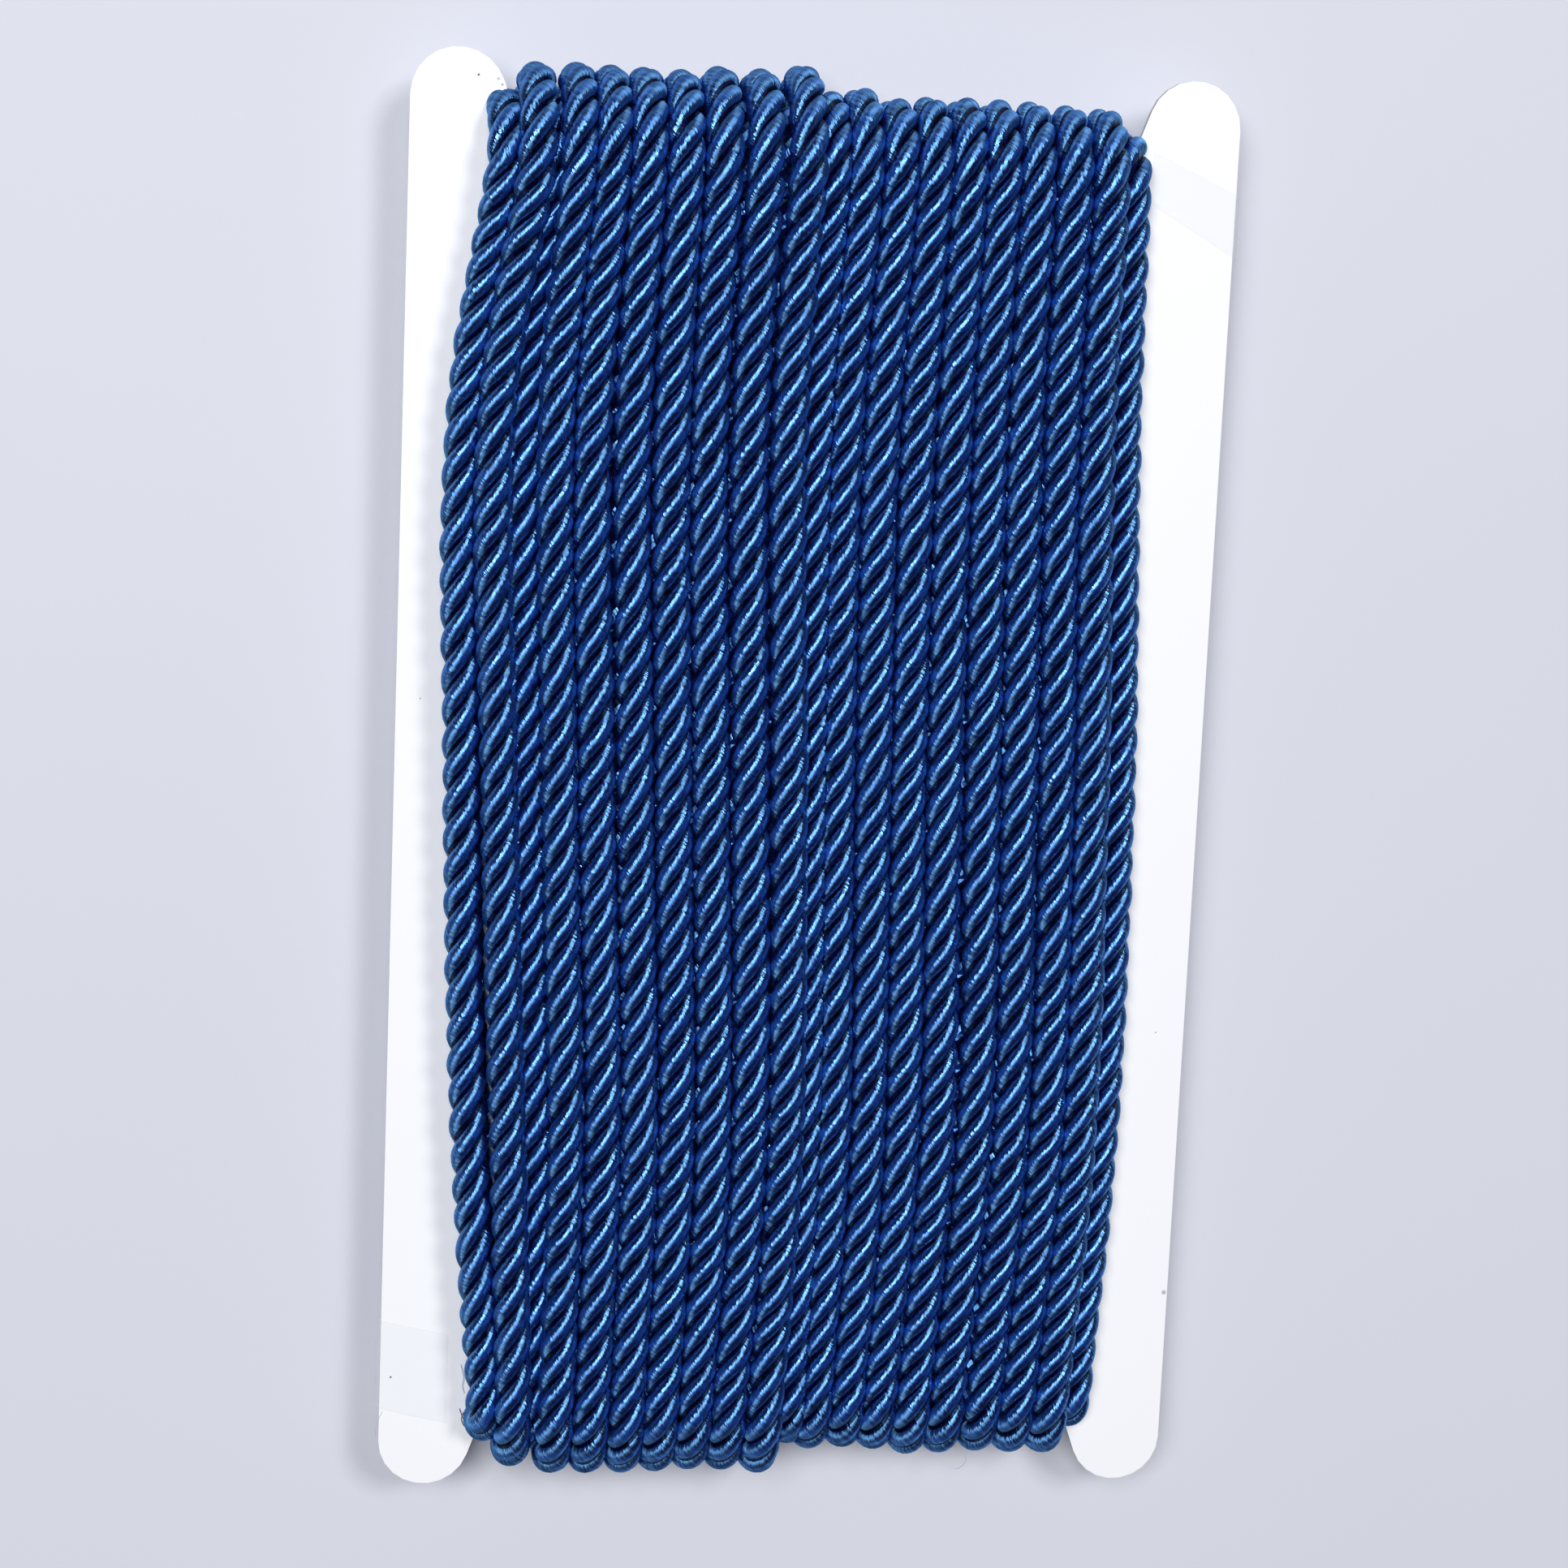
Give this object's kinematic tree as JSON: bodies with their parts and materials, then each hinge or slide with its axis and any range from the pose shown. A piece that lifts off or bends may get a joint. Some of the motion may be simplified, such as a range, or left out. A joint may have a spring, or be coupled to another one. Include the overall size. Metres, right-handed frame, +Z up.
{
  "type": "twisted cord trim wound on a card winder",
  "caption": "Satin three-ply twisted cord trim wound lengthwise in layers on a flat white H-shaped card winder with round-tipped ears, the ends held by clear tape.",
  "frame": {"origin": "centre of the bounding box on the surface that the wound card lies on", "axes": "+Y along the board's length and the turns, towards the picture's top; +X towards its right; +Z up, out of the face that shows"},
  "size_m": [0.1088, 0.19, 0.025],
  "materials": {
    "board": "smooth white coated board",
    "cord": "satin-wrapped three-ply twist",
    "tape": "clear film"
  },
  "bodies": {
    "root": {"card_winder": "board", "winding": "cord", "tape_upper_right": "tape", "tape_lower_left": "tape"}
  },
  "joints": []
}
